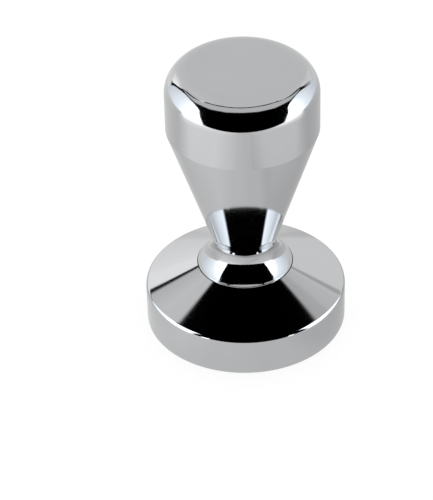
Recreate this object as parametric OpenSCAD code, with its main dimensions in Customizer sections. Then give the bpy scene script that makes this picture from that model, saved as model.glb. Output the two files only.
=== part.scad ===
// Espresso tamper: a turned steel base that presses the coffee, and a tall turned handle that
// screws down onto it over a threaded stud. All pieces share one axis, +Z up, and the origin is
// the centre of the flat pressing face.

/* [Pressing base] */
// Diameter of the pressing face and side wall
base_d = 58; // [49:0.1:60]
// Height of the straight side wall, up to where the rim starts to round over
side_h = 10.8; // [7:0.1:14]
// Radius of the rounded rim between the side wall and the cone
rim_round = 1.5; // [0.5:0.1:3]
// Slope of the base's conical top, from horizontal
top_slope = 25.5; // [15:0.5:32]
// Bevel around the pressing face
face_bevel = 0.4; // [0.1:0.1:1]
// How far the flat seat reaches out beyond the handle's foot
seat_margin = 0.2; // [0:0.1:1]

/* [Handle] */
// Diameter of the handle's foot
foot_d = 27.4; // [25:0.1:32]
// Height of the straight edge around the foot
foot_edge = 0.4; // [0.2:0.1:1]
// Diameter at the waist, the handle's thinnest place
waist_d = 18.7; // [17:0.1:21]
// Radius of the hollow flare between foot and stem
flare_round = 8.4; // [7:0.1:10]
// Lean of the stem's side, from vertical
stem_lean = 18; // [10:0.5:24]
// Diameter of the straight band around the grip
grip_d = 43.2; // [36:0.1:48]
// Overall height of the tamper
overall_h = 85; // [80:0.5:100]
// Radius of the shoulder between band and top face
shoulder_round = 8; // [4:0.5:12]

/* [Fastening] */
// Outer diameter of the stud's thread
stud_d = 8; // [6:1:8]
// Pitch of the stud's thread
thread_pitch = 1.25; // [1:0.25:1.5]
// Length of the stud
stud_len = 20; // [16:0.5:22]
// Turns of thread that hold the handle
held_turns = 8; // [4:1:10]
// Width across the flats of the stud's hexagon socket
socket_flats = 4; // [3:0.5:4]
// Depth of the stud's hexagon socket
socket_depth = 4.5; // [3:0.5:6]
// Outer diameter of the friction washer
washer_d = 16; // [12:0.5:18]
// Thickness of the friction washer
washer_t = 0.8; // [0.5:0.1:1.2]

/* [Clearances] */
// Radial gap between the stud and the handle's threaded hole
thread_gap = 0.05; // [0.02:0.01:0.1]
// Radial gap between the washer and the pieces around it
washer_gap = 0.15; // [0.1:0.05:0.3]
// Depth left free beyond each end of the stud
end_gap = 1.5; // [1:0.5:3]

/* [Hidden] */
$fn = 180;
drill_point = 118;
eps = 0.01;

// Base outline: where the rim's arc meets the cone, and the seat that the cone runs up to
base_r = base_d / 2;
rim_r = base_r - rim_round + rim_round * sin(top_slope);
rim_z = side_h + rim_round * cos(top_slope);
seat_r = foot_d / 2 + seat_margin;
seat_z = rim_z + (rim_r - seat_r) * tan(top_slope);

// Handle outline: the flare's centre, and where its arc meets the foot's edge and the stem
foot_r = foot_d / 2;
foot_top = seat_z + foot_edge;
flare_r = waist_d / 2 + flare_round;
flare_z = foot_top + sqrt(pow(flare_round, 2) - pow(flare_r - foot_r, 2));
stem_r = flare_r - flare_round * cos(stem_lean);
stem_z = flare_z + flare_round * sin(stem_lean);
grip_r = grip_d / 2;
band_z = stem_z + (grip_r - stem_r) / tan(stem_lean);
shoulder_z = overall_h - shoulder_round;

// Stud: held_turns of its length stand above the seat, and the rest is in the base
stud_r = stud_d / 2;
stud_top = seat_z + held_turns * thread_pitch;
stud_bottom = stud_top - stud_len;
stud_chamfer = thread_pitch * 0.6;

// A hole of radius r that ends in a drill's point, from z = 0 down to depth, mouth up
module blind_hole(r, depth) {
    tip = r / tan(drill_point / 2);
    translate([0, 0, -depth]) cylinder(h = depth + eps, r = r);
    translate([0, 0, -depth - tip]) cylinder(h = tip, r1 = 0, r2 = r);
}

// The countersink at a threaded hole's mouth, which opens upward at z = 0
module countersink(r) {
    translate([0, 0, -stud_chamfer])
        cylinder(h = stud_chamfer, r1 = r, r2 = r + stud_chamfer);
}

module base_outline() {
    polygon([
        [0, 0],
        [base_r - face_bevel, 0],
        [base_r, face_bevel],
        [base_r, side_h],
        [rim_r, rim_z],
        [seat_r, seat_z],
        [0, seat_z]
    ]);
    translate([base_r - rim_round, side_h]) circle(r = rim_round);
}

module stud_outline() {
    polygon([
        [0, stud_bottom],
        [stud_r - stud_chamfer, stud_bottom],
        [stud_r, stud_bottom + stud_chamfer],
        [stud_r, stud_top - stud_chamfer],
        [stud_r - stud_chamfer, stud_top],
        [0, stud_top]
    ]);
}

module handle_outline() {
    difference() {
        union() {
            polygon([
                [0, seat_z],
                [foot_r, seat_z],
                [foot_r, foot_top],
                [stem_r, stem_z],
                [grip_r, band_z],
                [grip_r, shoulder_z],
                [grip_r - shoulder_round, overall_h],
                [0, overall_h]
            ]);
            translate([grip_r - shoulder_round, shoulder_z]) circle(r = shoulder_round);
        }
        translate([flare_r, flare_z]) circle(r = flare_round);
    }
}

// The heavy foot that presses the coffee, with a blind threaded hole in its seat
module pressing_base() {
    color("silver")
        difference() {
            rotate_extrude() base_outline();
            translate([0, 0, seat_z]) {
                blind_hole(stud_r, seat_z - stud_bottom + end_gap);
                countersink(stud_r);
            }
        }
}

// A headless screw that stays locked in the base, with a hexagon socket in its upper end
module threaded_stud() {
    color("dimgray")
        difference() {
            rotate_extrude() stud_outline();
            translate([0, 0, stud_top - socket_depth])
                cylinder(h = socket_depth + eps, r = socket_flats / sqrt(3), $fn = 6);
        }
}

// A flat plastic washer in the foot's recess, which keeps the handle from working loose
module friction_washer() {
    color("ivory")
        translate([0, 0, seat_z])
            difference() {
                cylinder(h = washer_t, r = washer_d / 2);
                translate([0, 0, -eps])
                    cylinder(h = washer_t + 2 * eps, r = stud_r + washer_gap);
            }
}

// The grip, turned in one piece with its foot: a recess for the washer, then a threaded hole
module handle() {
    hole_r = stud_r + thread_gap;
    recess_r = washer_d / 2 + washer_gap;
    recess_top = seat_z + washer_t;
    color("lightgray")
        difference() {
            rotate_extrude() handle_outline();
            translate([0, 0, seat_z - eps]) cylinder(h = washer_t + eps, r = recess_r);
            translate([0, 0, recess_top])
                mirror([0, 0, 1]) {
                    blind_hole(hole_r, stud_top - recess_top + end_gap);
                    countersink(hole_r);
                }
        }
}

pressing_base();
threaded_stud();
friction_washer();
handle();
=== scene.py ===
"""Looks for the espresso tamper: a mirror-polished base and handle, the screw between them and its washer.

Every piece is turned about the Z axis, so lathe() builds each one from an outline. Outlines are in
millimetres up from the pressing face. Meshes, cards and the camera are in metres.
"""

import math
from typing import NamedTuple

import bpy
from mathutils import Matrix, Vector


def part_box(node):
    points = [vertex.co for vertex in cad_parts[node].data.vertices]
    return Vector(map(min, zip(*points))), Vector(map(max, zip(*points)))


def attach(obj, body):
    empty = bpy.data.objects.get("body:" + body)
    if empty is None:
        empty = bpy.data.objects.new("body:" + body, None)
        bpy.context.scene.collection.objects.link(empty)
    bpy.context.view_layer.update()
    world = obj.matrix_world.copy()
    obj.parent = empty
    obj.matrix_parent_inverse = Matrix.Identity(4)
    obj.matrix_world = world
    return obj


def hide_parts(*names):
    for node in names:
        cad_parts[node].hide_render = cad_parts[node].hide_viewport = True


MM = 0.001

# ---- Sizes in mm that the frame's boxes don't give, as the CAD has them -----------------------
FACE_BEVEL = 0.4
RIM_ROUND = 1.5
TOP_SLOPE = math.radians(25.5)
SEAT_MARGIN = 0.2
FOOT_R = 13.7
FOOT_EDGE = 0.4
WAIST_R = 9.35
FLARE_ROUND = 8.4
STEM_LEAN = math.radians(18)
SHOULDER_ROUND = 8.0
THREAD_PITCH = 1.25
THREAD_GAP = 0.05
WASHER_GAP = 0.15
END_GAP = 1.5
DRILL_HALF_ANGLE = math.radians(59)
SOCKET_FLATS = 4.0
SOCKET_DEPTH = 4.5

# ---- Sizes in mm of what only the looks have --------------------------------------------------
THREAD_DEPTH = 0.62
THREAD_RUNOUT = 0.6 * THREAD_PITCH
FINE_EDGE = 0.12
FOOT_ROUND = 0.26
BAND_EDGE = 1.2
WASHER_EDGE = 0.2

# ---- How finely the outlines are turned -------------------------------------------------------
ARC_STEP = math.radians(3)
FEWEST_ARC_STEPS = 3
ROWS_PER_PITCH = 12
BODY_SEGMENTS = 240
SCREW_SEGMENTS = 120


# ---- Outlines ---------------------------------------------------------------------------------
class Ring(NamedTuple):
    """One ring of a turned piece. A normal of None leaves the ring to the mesh's own normals."""

    r: float
    z: float
    normal: tuple = None
    shape: str = "round"
    share: float = 1.0


def rounded(*corners):
    """Rings along a line of corners (r, z, radius), with the solid on the line's right.

    Each corner becomes an arc that meets both its sides without a kink, so an arc's normals
    are those of the straight stretches too. The first and last corner stay as they are.
    """
    places = [Vector(corner[:2]) for corner in corners]
    first = (places[1] - places[0]).normalized()
    last = (places[-1] - places[-2]).normalized()
    rings = [Ring(*places[0], (-first.y, first.x))]
    for before, place, after, corner in zip(places, places[1:], places[2:], corners[1:]):
        radius = corner[2]
        back = (before - place).normalized()
        ahead = (after - place).normalized()
        turn = math.pi - back.angle(ahead)
        side = 1 if back.x * ahead.y - back.y * ahead.x < 0 else -1
        start = place + back * radius * math.tan(turn / 2)
        normal = Vector((back.y, -back.x))
        centre = start + normal * radius * side
        steps = max(FEWEST_ARC_STEPS, round(turn / ARC_STEP))
        for k in range(steps + 1):
            spin = side * turn * k / steps
            out = Vector((normal.x * math.cos(spin) - normal.y * math.sin(spin),
                          normal.x * math.sin(spin) + normal.y * math.cos(spin)))
            rings.append(Ring(*(centre - out * radius * side), tuple(out)))
    rings.append(Ring(*places[-1], (-last.y, last.x)))
    return rings


def thread(r, z_from, z_to, shape):
    """Rings down or up a threaded wall of crest radius r, whose thread runs out at both ends."""
    length = abs(z_to - z_from)
    count = math.ceil(length / THREAD_PITCH * ROWS_PER_PITCH)
    rings = []
    for k in range(count + 1):
        gone = length * k / count
        share = min(1.0, gone / THREAD_RUNOUT, (length - gone) / THREAD_RUNOUT)
        rings.append(Ring(r, z_from + (z_to - z_from) * k / count, None, shape, share))
    return rings


def thread_wave(phase):
    """Height of the thread's 60 degree profile, from 0 at its flat root to 1 at its flat crest."""
    steepness, below_root = 1.35, 0.15
    triangle = 1 - abs(2 * (phase - math.floor(phase)) - 1)
    return min(1.0, max(0.0, steepness * triangle - below_root))


def reach(ring, angle):
    """How far from the axis a ring is at an angle."""
    if ring.shape == "hexagon":
        return ring.r / math.cos((angle + math.pi / 6) % (math.pi / 3) - math.pi / 6)
    if ring.shape == "round":
        return ring.r
    wave = thread_wave(ring.z / THREAD_PITCH - angle / (2 * math.pi))
    if ring.shape == "outer_thread":
        return ring.r - THREAD_DEPTH * (1 - ring.share * wave)
    return ring.r - THREAD_DEPTH * ring.share * (1 - wave)


def lathe(name, rings, segments):
    """A closed solid turned from rings that start and end on the axis, or that close on themselves."""
    angles = [2 * math.pi * k / segments for k in range(segments)]
    loop = rings[0].r > 0
    verts = []
    normals = []
    rows = []
    for ring in rings:
        on_axis = ring.r == 0
        rows.append(range(len(verts), len(verts) + (1 if on_axis else segments)))
        for a in angles[:1] if on_axis else angles:
            out = reach(ring, a) if not on_axis else 0
            verts.append((out * math.cos(a) * MM, out * math.sin(a) * MM, ring.z * MM))
            if ring.normal is None:
                normals.append(None)
            elif on_axis:
                normals.append(Vector((0, 0, math.copysign(1, ring.normal[1]))))
            else:
                normals.append(Vector((ring.normal[0] * math.cos(a), ring.normal[0] * math.sin(a),
                                       ring.normal[1])))
    faces = []
    for a, b in zip(rows, rows[1:] + rows[:1] if loop else rows[1:]):
        for k in range(segments):
            n = (k + 1) % segments
            if len(a) == 1:
                faces.append((a[0], b[k], b[n]))
            elif len(b) == 1:
                faces.append((a[n], a[k], b[0]))
            else:
                faces.append((a[k], b[k], b[n], a[n]))

    mesh = bpy.data.meshes.new(name)
    mesh.from_pydata(verts, [], faces)
    mesh.validate()
    mesh.update()
    mesh.polygons.foreach_set("use_smooth", [True] * len(mesh.polygons))
    mesh.normals_split_custom_set_from_vertices(
        [own if given is None else given
         for given, own in zip(normals, [Vector(v.vector) for v in mesh.vertex_normals])])
    piece = bpy.data.objects.new(name, mesh)
    bpy.context.scene.collection.objects.link(piece)
    return piece


# ---- Pieces -----------------------------------------------------------------------------------
def box_mm(node):
    """Outer radius, lowest z and highest z of a CAD node, in mm."""
    low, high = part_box(node)
    return high.x / MM, low.z / MM, high.z / MM


def make_base():
    """The heavy foot. The line runs up its threaded hole, across the seat and down the outside."""
    base_r, face_z, seat_z = box_mm("pressing_base")
    stud_r, stud_low, _ = box_mm("threaded_stud")
    hole_r = stud_r + THREAD_GAP / 2
    floor_z = stud_low - END_GAP
    tip_z = floor_z - hole_r / math.tan(DRILL_HALF_ANGLE)
    seat_r = FOOT_R + SEAT_MARGIN
    cone_foot_z = seat_z - (base_r - seat_r) * math.tan(TOP_SLOPE)
    hole = [Ring(0, tip_z, (0, 1))]
    hole += thread(hole_r, floor_z, seat_z - THREAD_RUNOUT, "inner_thread")
    outside = rounded(
        (hole_r, seat_z - THREAD_RUNOUT, 0),
        (hole_r + THREAD_RUNOUT, seat_z, FINE_EDGE),
        (seat_r, seat_z, FINE_EDGE),
        (base_r, cone_foot_z, RIM_ROUND),
        (base_r, face_z + FACE_BEVEL, FINE_EDGE),
        (base_r - FACE_BEVEL, face_z, FINE_EDGE),
        (0, face_z, 0))
    return lathe("polished_base", hole + outside[1:], BODY_SEGMENTS)


def make_handle():
    """The grip with its stem and foot. The line runs from the top down the outside, then up the hole."""
    grip_r, seat_z, top_z = box_mm("handle")
    stud_r, _, stud_high = box_mm("threaded_stud")
    washer_r, _, washer_high = box_mm("friction_washer")
    foot_top = seat_z + FOOT_EDGE
    flare_r = WAIST_R + FLARE_ROUND
    flare_z = foot_top + math.sqrt(FLARE_ROUND ** 2 - (flare_r - FOOT_R) ** 2)
    stem_r = flare_r - FLARE_ROUND * math.cos(STEM_LEAN)
    stem_z = flare_z + FLARE_ROUND * math.sin(STEM_LEAN)
    band_z = stem_z + (grip_r - stem_r) / math.tan(STEM_LEAN)

    # The flare's arc as a corner: where its tangents at the stem and at the foot's edge cross
    stem_way = math.pi - STEM_LEAN
    foot_way = math.pi + math.atan2(flare_z - foot_top, flare_r - FOOT_R)
    half_turn = (foot_way - stem_way) / 2
    middle = (foot_way + stem_way) / 2
    away = FLARE_ROUND / math.cos(half_turn)
    flare_round = FLARE_ROUND - FOOT_ROUND / math.tan(half_turn)

    hole_r = stud_r + THREAD_GAP
    recess_r = washer_r + WASHER_GAP
    hole_top = stud_high + END_GAP
    outside = rounded(
        (0, top_z, 0),
        (grip_r, top_z, SHOULDER_ROUND),
        (grip_r, band_z, BAND_EDGE),
        (flare_r + away * math.cos(middle), flare_z + away * math.sin(middle), flare_round),
        (FOOT_R, foot_top, FOOT_ROUND),
        (FOOT_R, seat_z, FINE_EDGE),
        (recess_r, seat_z, FINE_EDGE),
        (recess_r, washer_high, FINE_EDGE),
        (hole_r + THREAD_RUNOUT, washer_high, FINE_EDGE),
        (hole_r, washer_high + THREAD_RUNOUT, 0))
    hole = thread(hole_r, washer_high + THREAD_RUNOUT, hole_top, "inner_thread")
    tip = Ring(0, hole_top + hole_r / math.tan(DRILL_HALF_ANGLE), (0, -1))
    return lathe("polished_handle", outside[:-1] + hole + [tip], BODY_SEGMENTS)


def make_stud():
    """The headless screw. The line runs out of its hexagon socket and down its thread."""
    stud_r, low_z, high_z = box_mm("threaded_stud")
    root_r = stud_r - THREAD_DEPTH
    end_r = stud_r - THREAD_RUNOUT
    slope = root_r - end_r
    floor_z = high_z - SOCKET_DEPTH
    flats_r = SOCKET_FLATS / 2
    mouth_r = SOCKET_FLATS / math.sqrt(3) + FINE_EDGE
    socket = [
        Ring(0, floor_z, (0, 1)),
        Ring(flats_r, floor_z, None, "hexagon"),
        Ring(flats_r, high_z - 2 * FINE_EDGE, None, "hexagon"),
        Ring(mouth_r, high_z, (0, 1))]
    shank = thread(stud_r, high_z - slope, low_z + slope, "outer_thread")
    ends = [Ring(end_r, high_z, (0, 1)), Ring(end_r, low_z, (0, -1)), Ring(0, low_z, (0, -1))]
    return lathe("hex_socket_stud", socket + ends[:1] + shank + ends[1:], SCREW_SEGMENTS)


def make_washer():
    """The thin plastic ring in the foot's recess, with its stamped edges rounded over."""
    washer_r, low_z, high_z = box_mm("friction_washer")
    inner_r = box_mm("threaded_stud")[0] + WASHER_GAP
    middle_r = (washer_r + inner_r) / 2
    rings = rounded(
        (middle_r, high_z, 0),
        (washer_r, high_z, WASHER_EDGE),
        (washer_r, low_z, WASHER_EDGE),
        (inner_r, low_z, WASHER_EDGE),
        (inner_r, high_z, WASHER_EDGE),
        (middle_r, high_z, 0))
    return lathe("captive_washer", rings[:-1], SCREW_SEGMENTS)


# ---- Materials --------------------------------------------------------------------------------
class Nodes:
    """Short calls for building one material's node tree."""

    def __init__(self, name):
        self.material = bpy.data.materials.new(name)
        self.material.use_nodes = True
        self.tree = self.material.node_tree
        self.shader = self.tree.nodes["Principled BSDF"]

    def add(self, kind, **settings):
        node = self.tree.nodes.new(kind)
        for key, value in settings.items():
            setattr(node, key, value)
        return node

    def link(self, output, socket):
        self.tree.links.new(output, socket)

    def place(self):
        return self.add("ShaderNodeTexCoord").outputs["Object"]

    def math(self, operation, first, second=None):
        node = self.add("ShaderNodeMath", operation=operation)
        for socket, value in zip(node.inputs, (first, second)):
            if isinstance(value, (int, float)):
                socket.default_value = value
            elif value is not None:
                self.link(value, socket)
        return node.outputs[0]

    def noise(self, vector, scale, detail, roughness):
        node = self.add("ShaderNodeTexNoise")
        self.link(vector, node.inputs["Vector"])
        node.inputs["Scale"].default_value = scale
        node.inputs["Detail"].default_value = detail
        node.inputs["Roughness"].default_value = roughness
        return node.outputs[0]

    def span(self, value, given, wanted):
        """A value stretched from one (low, high) to another."""
        node = self.add("ShaderNodeMapRange", clamp=True)
        self.link(value, node.inputs["Value"])
        for key, number in zip(("From Min", "From Max", "To Min", "To Max"), (*given, *wanted)):
            node.inputs[key].default_value = number
        return node.outputs[0]

    def blend(self, factor, first, second):
        node = self.add("ShaderNodeMix", data_type="RGBA")
        self.link(factor, node.inputs["Factor"])
        node.inputs["A"].default_value = (*first, 1)
        node.inputs["B"].default_value = (*second, 1)
        return node.outputs["Result"]

    def turned(self, place):
        """A vector that changes only outward and upward, so patterns on it run round the axis."""
        parts = self.add("ShaderNodeSeparateXYZ")
        self.link(place, parts.inputs[0])
        x, y, z = parts.outputs
        squares = self.math("ADD", self.math("MULTIPLY", x, x), self.math("MULTIPLY", y, y))
        radius = self.math("SQRT", squares)
        joined = self.add("ShaderNodeCombineXYZ")
        self.link(radius, joined.inputs[0])
        self.link(z, joined.inputs[2])
        return joined.outputs[0], z

    def bump(self, height, strength, distance, before=None):
        node = self.add("ShaderNodeBump")
        self.link(height, node.inputs["Height"])
        node.inputs["Strength"].default_value = strength
        node.inputs["Distance"].default_value = distance
        if before is not None:
            self.link(before, node.inputs["Normal"])
        return node.outputs[0]

    def finish(self, shader):
        """Puts another shader in the Principled one's place."""
        self.tree.nodes.remove(self.shader)
        self.link(shader, self.tree.nodes["Material Output"].inputs["Surface"])


STEEL_LIGHT = (0.60, 0.605, 0.615)
STEEL_DARK = (0.54, 0.545, 0.555)


def polished_metal(name, faced_below=None):
    """Mirror-polished steel: faint buffing lines round the axis and slightly duller patches.

    Below faced_below, where the pressing face is, the lathe's facing cuts are left in the metal.
    """
    n = Nodes(name)
    place = n.place()
    around, height = n.turned(place)
    patches = n.noise(place, scale=45, detail=4, roughness=0.6)
    lines = n.noise(around, scale=2600, detail=3, roughness=0.7)
    haze = n.span(patches, (0.35, 0.75), (0.045, 0.075))
    n.link(n.blend(patches, STEEL_DARK, STEEL_LIGHT), n.shader.inputs["Base Color"])
    relief = n.bump(lines, strength=0.015, distance=0.02 * MM)
    roughness = n.math("ADD", haze, n.span(lines, (0.3, 0.8), (0.0, 0.02)))
    if faced_below is not None:
        face_roughness = 0.14
        face = n.math("LESS_THAN", height, faced_below)
        cuts = n.noise(around, scale=5200, detail=1, roughness=0.5)
        relief = n.bump(n.math("MULTIPLY", cuts, face), strength=0.25, distance=0.03 * MM, before=relief)
        roughness = n.math("ADD", roughness, n.math("MULTIPLY", face, face_roughness))
    n.link(roughness, n.shader.inputs["Roughness"])
    n.link(relief, n.shader.inputs["Normal"])
    n.shader.inputs["Metallic"].default_value = 1.0
    return n.material


def rolled_steel(name):
    """The screw's plain steel: darker than the polished pieces, with oil left in patches."""
    n = Nodes(name)
    place = n.place()
    around, _ = n.turned(place)
    oil = n.noise(place, scale=380, detail=4, roughness=0.6)
    marks = n.noise(around, scale=4200, detail=2, roughness=0.6)
    n.link(n.blend(oil, (0.30, 0.30, 0.31), (0.43, 0.43, 0.42)), n.shader.inputs["Base Color"])
    n.link(n.span(oil, (0.3, 0.7), (0.24, 0.40)), n.shader.inputs["Roughness"])
    n.link(n.bump(marks, strength=0.2, distance=0.03 * MM), n.shader.inputs["Normal"])
    n.shader.inputs["Metallic"].default_value = 1.0
    return n.material


def nylon(name):
    """The washer's plastic: off-white, finely grained, with a little light passing through."""
    n = Nodes(name)
    place = n.place()
    grain = n.noise(place, scale=2400, detail=3, roughness=0.6)
    cloud = n.noise(place, scale=160, detail=3, roughness=0.5)
    n.link(n.blend(cloud, (0.76, 0.74, 0.68), (0.84, 0.82, 0.77)), n.shader.inputs["Base Color"])
    n.link(n.span(grain, (0.3, 0.7), (0.38, 0.55)), n.shader.inputs["Roughness"])
    n.link(n.bump(grain, strength=0.25, distance=0.03 * MM), n.shader.inputs["Normal"])
    n.shader.inputs["Subsurface Weight"].default_value = 0.15
    n.shader.inputs["Subsurface Radius"].default_value = (0.6 * MM, 0.5 * MM, 0.4 * MM)
    n.shader.inputs["Subsurface Scale"].default_value = 1.0
    return n.material


# ---- Studio -----------------------------------------------------------------------------------
# The metal shows cards, which lie in directions from the tamper: azimuth 0 is toward the camera
# and 90 toward +X, and elevation is above the horizon, both in degrees.
WHITE = (1.0, 1.0, 1.0)
COOL = (0.88, 0.94, 1.0)
BLACK = (0.0, 0.0, 0.0)
FOOT = Vector((0, 0, 0.020))
GRIP_TOP = Vector((0, 0, 0.080))
RIM = Vector((0, 0, 0.012))
SHOULDER_R = 0.018
SHOULDER_Z = 0.082
TABLE_Z = -0.0005
FLOOR_Z = -0.0002
WALL_REACH = 1.0
BACKDROP_REACH = 1.1
BASE_REACH = 0.42
CLOTH_REACH = 0.030
SHEET_REACH = 0.028
HARD_EDGE = 0.01


class Column(NamedTuple):
    """One column of a card: its low and high end, how bright it is, and how much of it is there.

    The level is one number, or a pair for the low and the high end.
    """

    low: tuple
    high: tuple
    level: float
    cover: float = 1.0


def direction(azimuth, elevation):
    a = math.radians(azimuth)
    e = math.radians(elevation)
    return Vector((math.sin(a) * math.cos(e), -math.cos(a) * math.cos(e), math.sin(e)))


def seen_from(start, reach):
    """Places each (azimuth, elevation) at one distance from a start."""
    def place(way):
        return start + direction(*way) * reach
    return place


def off_the_shoulder(reach):
    """Places each (azimuth, elevation) close to the grip, on the ray its shoulder throws that way."""
    def place(way):
        half = math.radians(way[0]) / 2
        start = Vector((SHOULDER_R * math.sin(half), -SHOULDER_R * math.cos(half), SHOULDER_Z))
        return start + direction(*way) * reach
    return place


def glow(name, colour, clear=False):
    """A card's shader: "level" says how bright it is, and "cover" how much of it there is.

    A clear card adds its light to what lies behind it, so it hides nothing.
    """
    n = Nodes(name)
    level = n.add("ShaderNodeAttribute", attribute_name="level").outputs["Fac"]
    cover = n.add("ShaderNodeAttribute", attribute_name="cover").outputs["Fac"]
    light = n.add("ShaderNodeEmission")
    light.inputs["Color"].default_value = (*colour, 1)
    behind = n.add("ShaderNodeBsdfTransparent").outputs[0]
    if clear:
        n.link(n.math("MULTIPLY", level, cover), light.inputs["Strength"])
        join = n.add("ShaderNodeAddShader")
        n.link(behind, join.inputs[0])
        n.link(light.outputs[0], join.inputs[1])
    else:
        n.link(level, light.inputs["Strength"])
        join = n.add("ShaderNodeMixShader")
        n.link(cover, join.inputs[0])
        n.link(behind, join.inputs[1])
        n.link(light.outputs[0], join.inputs[2])
    n.finish(join.outputs[0])
    return n.material


def card(name, place, columns, material, soft=(0, 0), only_for=None):
    """A studio card made of columns, seen in reflections and nowhere else.

    place() turns a column's ends into points. The card thins out toward its low and its high edge
    over the two shares of its height in soft.
    """
    low_soft, high_soft = soft
    # Every column has four points: its ends and, a share of its height in from each, where it is full
    rows = (
        (0, 0 if low_soft else 1),
        (low_soft or HARD_EDGE, 1),
        (1 - (high_soft or HARD_EDGE), 1),
        (1, 0 if high_soft else 1))
    verts = []
    levels = []
    covers = []
    for column in columns:
        low, high, level, cover = Column(*column)
        at_low, at_high = level if isinstance(level, tuple) else (level, level)
        for share, fade in rows:
            verts.append(place(low).lerp(place(high), share))
            levels.append(at_low + (at_high - at_low) * share)
            covers.append(fade * cover)
    width = len(rows)
    faces = [(i + k, i + k + width, i + k + width + 1, i + k + 1)
             for i in range(0, width * (len(columns) - 1), width) for k in range(width - 1)]
    mesh = bpy.data.meshes.new(name)
    mesh.from_pydata(verts, [], faces)
    mesh.attributes.new("level", "FLOAT", "POINT").data.foreach_set("value", levels)
    mesh.attributes.new("cover", "FLOAT", "POINT").data.foreach_set("value", covers)
    mesh.materials.append(material)
    thing = bpy.data.objects.new(name, mesh)
    bpy.context.scene.collection.objects.link(thing)
    thing.visible_camera = False
    thing.visible_diffuse = False
    thing.visible_shadow = False
    if only_for is not None:
        thing.light_linking.receiver_collection = only_for
    return thing


def make_painted_table_reflection(white):
    """What the reflections see of the white table, painted on a glowing card: it ends in front, carries
    painted light that grows brighter toward the sides, and painted shade that makes it darker behind the
    tamper.
    """
    rear = 0.35

    def strip(name, z, front, front_soft, *places):
        columns = [((x, front, z), (x, rear, z), (in_front, behind)) for x, in_front, behind in places]
        card(name, Vector, columns, white, soft=(front_soft, 0))

    # Painted light: the table's reflection grows much brighter toward the sides, as if the tent's walls
    # lit it there
    strip(
        "table", TABLE_Z, -0.25, 0.02,
        (-0.60, 3.20, 0.90), (-0.34, 2.00, 0.75), (-0.22, 1.35, 0.70), (-0.13, 1.18, 0.80),
        (-0.09, 1.12, 0.75), (-0.04, 0.92, 0.78), (-0.015, 0.80, 0.78), (0.0, 0.77, 0.79),
        (0.02, 0.77, 0.70), (0.045, 0.86, 0.46), (0.10, 0.90, 0.72), (0.14, 0.92, 0.72),
        (0.22, 1.30, 0.70), (0.34, 1.90, 0.75), (0.60, 3.20, 0.85))
    # Painted shade: a darker card over the table's reflection behind the tamper, standing in for the
    # tamper's shadow there
    strip(
        "table_painted_shade", FLOOR_Z, -0.025, 0.14,
        (-0.60, 0.75, 0.95), (-0.20, 0.70, 0.95), (-0.09, 0.65, 0.98), (-0.035, 0.63, 0.98),
        (-0.02, 0.75, 0.92), (0.0, 0.78, 0.85), (0.02, 0.68, 0.84), (0.035, 0.50, 0.88),
        (0.09, 0.54, 0.88), (0.20, 0.58, 0.84), (0.60, 0.70, 0.84))


def make_grip_walls(cool, grip_only):
    """The tent's side walls as the handle shows them, brightest along their front edges."""
    place = seen_from(FOOT, WALL_REACH)
    card("left_wall", place, (
        ((-53, -8), (-56, 3), 3.2, 0),
        ((-58, -8), (-63, 19), 3.2),
        ((-66, -8), (-70, 34), 3.2),
        ((-74, -8), (-78, 46), 2.8),
        ((-86, -8), (-90, 57), 2.1),
        ((-100, -8), (-104, 62), 1.6),
        ((-112, -8), (-114, 57), 1.4),
        ((-124, -8), (-124, 47), 1.2),
        ((-137, -8), (-137, 34), 1.0)), cool, soft=(0.06, 0.06), only_for=grip_only)
    card("right_wall", place, (
        ((57, -8), (60, 3), 3.2, 0),
        ((62, -8), (69, 19.5), 3.2),
        ((70, -8), (76, 35.5), 3.2),
        ((80, -8), (85, 45.5), 2.8),
        ((90, -8), (92, 51.5), 2.1),
        ((100, -8), (103, 60), 1.6),
        ((110, -8), (112, 59), 1.4),
        ((120, -8), (122, 49), 1.2),
        ((137, -8), (137, 36), 0.95)), cool, soft=(0.06, 0.06), only_for=grip_only)


def make_grip_backdrop(white, grip_only):
    """An even grey sheet for the handle, from overhead down to the horizon behind."""
    card("backdrop", seen_from(GRIP_TOP, BACKDROP_REACH), (
        ((-134, -14), (-127, 34), (1.10, 0.8)),
        ((-146, -14), (-112, 48), (1.05, 0.8)),
        ((-153, -14), (-90, 64), (0.95, 0.8)),
        ((-160, -14), (-60, 75.5), (0.85, 0.8)),
        ((-170, -14), (-30, 79.5), 0.8),
        ((-180, -14), (0, 80.5), 0.8),
        ((-190, -14), (30, 79.5), 0.8),
        ((-200, -14), (60, 75.5), 0.8),
        ((-207, -14), (90, 64), (0.85, 0.8)),
        ((-214, -14), (112, 48), (0.90, 0.8)),
        ((-226, -14), (127, 34), (0.95, 0.8))), white, only_for=grip_only)


def make_visors(black, grip_only):
    """Black cloth close round the top, above the tent's walls."""
    place = off_the_shoulder(CLOTH_REACH)
    card("left_visor", place, (
        ((-46, 0), (-46, 56), 0),
        ((-54, 6), (-54, 54), 0),
        ((-59, 13), (-59, 54), 0),
        ((-66, 24), (-66, 54), 0),
        ((-76, 33), (-76, 56), 0),
        ((-90, 38.5), (-90, 60), 0),
        ((-105, 38.5), (-105, 56), 0),
        ((-114, 36), (-115, 51), 0),
        ((-120, 31), (-122, 46), 0),
        ((-124, 25), (-128, 40), 0),
        ((-129, 17), (-134, 28), 0),
        ((-132, 10), (-139, 16), 0),
        ((-134, 3), (-141, 4), 0)), black, soft=(0.10, 0), only_for=grip_only)
    card("right_visor", place, (
        ((52, 0), (52, 56), 0),
        ((60, 6), (60, 54), 0),
        ((65, 14), (65, 54), 0),
        ((72, 25), (72, 54), 0),
        ((82, 34), (82, 56), 0),
        ((95, 38.5), (95, 60), 0),
        ((107, 38.5), (107, 56), 0),
        ((114, 36), (115, 51), 0),
        ((119, 31), (122, 46), 0),
        ((122, 25), (128, 38), 0),
        ((127, 16), (133, 26), 0, 0.6),
        ((131, 8), (137, 12), 0, 0.2)), black, soft=(0.10, 0), only_for=grip_only)


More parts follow.
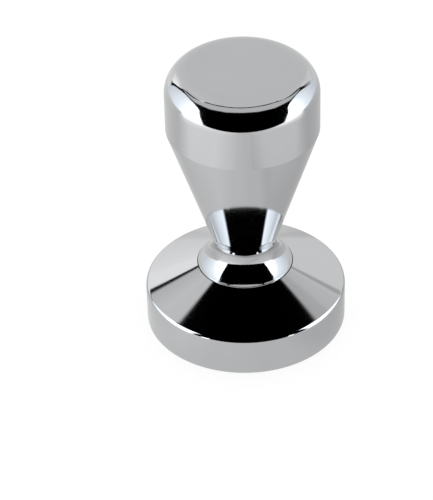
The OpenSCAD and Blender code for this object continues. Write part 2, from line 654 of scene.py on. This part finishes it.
def make_shoulder_sheets(white, grip_only):
    """Grey sheets in front of the black cloth, which leave two thin lines of it open."""
    place = off_the_shoulder(SHEET_REACH)
    card("crescent", place, (
        ((-124, 37), (-125, 38.5), 0.60),
        ((-115, 40), (-115, 45), 0.66),
        ((-105, 42.5), (-104, 51), 0.70),
        ((-90, 43), (-90, 61), 0.72),
        ((-60, 49), (-60, 73), 0.72),
        ((-30, 55), (-30, 77.5), 0.72),
        ((0, 58), (0, 78), 0.72),
        ((30, 55), (30, 77.5), 0.72),
        ((60, 49), (60, 73), 0.72),
        ((90, 43), (90, 61), 0.72),
        ((105, 42.5), (104, 51), 0.70),
        ((115, 40), (115, 45), 0.66),
        ((122, 37), (123, 38.5), 0.60)), white, soft=(0.10, 0), only_for=grip_only)
    for side, name, bright in ((-1, "left_rear_sheet", 1.5), (1, "right_rear_sheet", 0.95)):
        card(name, place, (
            ((side * 90, 64.5), (side * 90, 70), 0.8),
            ((side * 104, 55.5), (side * 104, 66), 0.8),
            ((side * 115, 50.5), (side * 117, 60), 0.8),
            ((side * 122, 46), (side * 127, 54), 0.8),
            ((side * 126.5, 40), (side * 135, 47), (0.9, 0.8)),
            ((side * 127.5, 31.5), (side * 142, 38), (1.0, 0.8)),
            ((side * 131, 23.5), (side * 148, 30), (bright, 0.8)),
            ((side * 134.5, 17), (side * 152, 22), (bright, 0.85)),
            ((side * 137, 10.5), (side * 155, 13), (bright, 0.9)),
            ((side * 139, 4), (side * 157, 4), (1.0, 0.95), 0)), white, soft=(0, 0.3), only_for=grip_only)


def make_base_walls(cool, white, base_only):
    """The tent's side walls as the base shows them, and in front of each a narrow bright window."""
    place = seen_from(RIM, BASE_REACH)
    card("base_left_wall", place, (
        ((-54, -2), (-54, 46), 3.0, 0),
        ((-60, -2), (-60, 46), 3.0),
        ((-90, -2), (-90, 46), 1.9),
        ((-118, -2), (-101, 46), 1.1)), cool, soft=(0, 0.1), only_for=base_only)
    card("base_right_wall", place, (
        ((62, -2), (62, 44), 3.0, 0),
        ((67, -2), (67, 44), 3.0),
        ((90, -2), (90, 44), 2.1),
        ((120, -2), (104, 44), 1.2)), cool, soft=(0, 0.1), only_for=base_only)
    for name, first, last in (("left_window", -47, -36.5), ("right_window", 42, 49)):
        columns = []
        for share, cover in ((0, 0), (0.2, 1), (0.8, 1), (1, 0)):
            azimuth = first + (last - first) * share
            columns.append(((azimuth, -2), (azimuth, 8), 3.2, cover))
        card(name, place, columns, white, soft=(0, 0.2), only_for=base_only)


def make_base_sheets(white, base_only):
    """Grey sheets beside the dark opening overhead, each with a thin dark seam across it."""
    inner, outer = 0.09, 0.30

    def sheet(name, *places):
        columns = []
        for middle, way, level in places:
            outward = Vector(way).normalized()
            centre = Vector(middle) * MM
            columns.append((centre - outward * inner, centre + outward * outer, level))
        card(name, Vector, columns, white, only_for=base_only)

    # Each column: a place in mm, the way outward there, and the level
    sheet(
        "base_left_sheet",
        ((-195, 85, 335), (-7, -5, -4), 0),
        ((-205, 95, 325), (-7, -5, -4), 0.85),
        ((-230, 160, 285), (-8, -1, -6), 0.88),
        ((-230, 240, 215), (-8, -1, -5), 0.74),
        ((-230, 250, 205), (-8, -1, -5), 0),
        ((-225, 260, 195), (-8, -1, -5), 0),
        ((-225, 265, 190), (-8, -1, -5), 1.25),
        ((-195, 315, 135), (-9, -1, -4), 1.23),
        ((-150, 360, 60), (-10, 0, -1), 1.05),
        ((-100, 385, -25), (-10, 0, -1), 0.90))
    sheet(
        "base_right_sheet",
        ((205, 95, 325), (4, -9, -1), 0),
        ((210, 105, 315), (4, -9, -1), 0.62),
        ((230, 160, 280), (7, -6, -4), 0.75),
        ((230, 220, 230), (8, -1, -6), 0.84),
        ((230, 225, 225), (8, -1, -6), 0.56),
        ((230, 240, 215), (8, -1, -6), 0.56),
        ((230, 245, 210), (8, -1, -6), 0.94),
        ((205, 305, 150), (9, -1, -4), 0.94),
        ((160, 355, 75), (10, 0, -1), 0.92),
        ((110, 385, -25), (10, 0, -1), 0.84))


def height_at(x, points):
    """The height at x of the line through the points."""
    for (x0, y0), (x1, y1) in zip(points, points[1:]):
        if x <= x1:
            return y0 + (y1 - y0) * (x - x0) / (x1 - x0)
    return points[-1][1]


def make_painted_reflection_discs(black, cool, grip_only):
    """Two discs inside the handle that paint in what reflections would show of the handle itself, because
    they don't show it: a black one, painted shade for what the foot's edge sees of the stem, and a glowing
    one, a painted reflection of the foot for what the stem sees of it."""
    stem_levels = ((0, 0), (180, 0))
    # Painted reflection: how bright the foot shows in the stem, by azimuth; the black disc is painted
    # shade
    foot_levels = ((0, 0), (42, 0), (54, 1.15), (66, 1.30), (83, 0.95), (99, 0.80), (180, 0.80))
    for name, r, z, levels, material in (
            ("stem_shade", 0.0145, 0.056, stem_levels, black),
            ("painted_foot_reflection", 0.0136, 0.0193, foot_levels, cool)):
        centre = Vector((0, 0, z))
        columns = [(centre, centre + direction(azimuth, 0) * r, height_at(abs(azimuth), levels))
                   for azimuth in range(-180, 181, 6)]
        thing = card(name, Vector, columns, material, only_for=grip_only)
        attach(thing, "grip")


def collection_of(name, piece):
    collection = bpy.data.collections.new(name)
    collection.objects.link(piece)
    return collection


def make_studio(base, handle):
    """A white table in a light tent that is open to the dark room in front and overhead.

    Apart from the table, handle and base each have cards of their own.
    """
    white = glow("white_glow", WHITE)
    cool = glow("cool_glow", COOL)
    black = glow("black_cloth", BLACK)
    clear_cool = glow("clear_cool", COOL, clear=True)
    clear_white = glow("clear_white", WHITE, clear=True)
    grip_only = collection_of("grip_only", handle)
    base_only = collection_of("base_only", base)
    make_painted_table_reflection(white)
    make_grip_walls(cool, grip_only)
    make_grip_backdrop(white, grip_only)
    make_visors(black, grip_only)
    make_shoulder_sheets(white, grip_only)
    make_base_walls(clear_cool, clear_white, base_only)
    make_base_sheets(clear_white, base_only)
    make_painted_reflection_discs(black, cool, grip_only)
    # The polished base shows only the tent, and not the handle that stands on it
    handle.visible_glossy = False


def make_floor():
    """The pale surface the tamper stands on, lit mostly from itself, so it keeps only a faint shadow."""
    half = 6.0
    albedo = 0.18
    own_light = 0.85
    corners = [(x * half, y * half, FLOOR_Z) for x, y in ((-1, -1), (1, -1), (1, 1), (-1, 1))]
    mesh = bpy.data.meshes.new("floor")
    mesh.from_pydata(corners, [], [(0, 1, 2, 3)])
    n = Nodes("floor_white")
    n.shader.inputs["Base Color"].default_value = (albedo, albedo, albedo, 1)
    n.shader.inputs["Roughness"].default_value = 1.0
    n.shader.inputs["Specular IOR Level"].default_value = 0.0
    n.shader.inputs["Emission Color"].default_value = (1, 1, 1, 1)
    n.shader.inputs["Emission Strength"].default_value = own_light
    mesh.materials.append(n.material)
    floor = bpy.data.objects.new("floor", mesh)
    bpy.context.scene.collection.objects.link(floor)
    floor.visible_glossy = False


def make_daylight():
    """Even white light from all round, which the polished metal doesn't show."""
    world = bpy.data.worlds.new("daylight")
    world.use_nodes = True
    background = world.node_tree.nodes["Background"]
    background.inputs["Color"].default_value = (1, 1, 1, 1)
    background.inputs["Strength"].default_value = 1.0
    world.cycles_visibility.glossy = False
    bpy.context.scene.world = world


def make_camera():
    """A long lens in front of the tamper and above it, turned and tipped a little to one side."""
    looks_down, turned, tipped = 37.18, 0.867, -1.581
    data = bpy.data.cameras.new("camera")
    data.lens = 169.8
    data.sensor_width = 36.0
    data.clip_start = 0.05
    data.clip_end = 20.0
    camera = bpy.data.objects.new("camera", data)
    bpy.context.scene.collection.objects.link(camera)
    place = Matrix.Translation((0.0, -0.5435, 0.4348))
    yaw = Matrix.Rotation(math.radians(turned), 4, "Z")
    pitch = Matrix.Rotation(math.radians(90 - looks_down), 4, "X")
    roll = Matrix.Rotation(math.radians(tipped), 4, "Z")
    camera.matrix_world = place @ yaw @ pitch @ roll
    bpy.context.scene.camera = camera


# ---- Scene ------------------------------------------------------------------------------------
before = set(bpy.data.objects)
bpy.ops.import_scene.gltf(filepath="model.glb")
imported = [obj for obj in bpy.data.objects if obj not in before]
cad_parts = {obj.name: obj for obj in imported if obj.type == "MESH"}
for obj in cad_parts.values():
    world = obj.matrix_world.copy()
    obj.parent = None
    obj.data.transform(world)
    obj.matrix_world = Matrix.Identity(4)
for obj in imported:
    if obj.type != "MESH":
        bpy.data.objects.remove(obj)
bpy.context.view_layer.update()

FACING_TOP = 0.1 * MM
PARTS = [
    (make_base, "base", "base_metal", "pressing_base", polished_metal("base_polish", FACING_TOP)),
    (make_handle, "grip", "handle_metal", "handle", polished_metal("handle_polish")),
    (make_stud, "base", "stud_steel", "threaded_stud", rolled_steel("stud_steel")),
    (make_washer, "washer", "washer_plastic", "friction_washer", nylon("washer_nylon")),
]
made = {}
for make, body, slot_name, node, material in PARTS:
    piece = make()
    piece.data.materials.append(material)
    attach(piece, body)
    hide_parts(node)
    made[node] = piece

make_studio(made["pressing_base"], made["handle"])
make_floor()
make_daylight()
make_camera()
bpy.context.scene.view_settings.view_transform = "Standard"

bpy.context.view_layer.update()
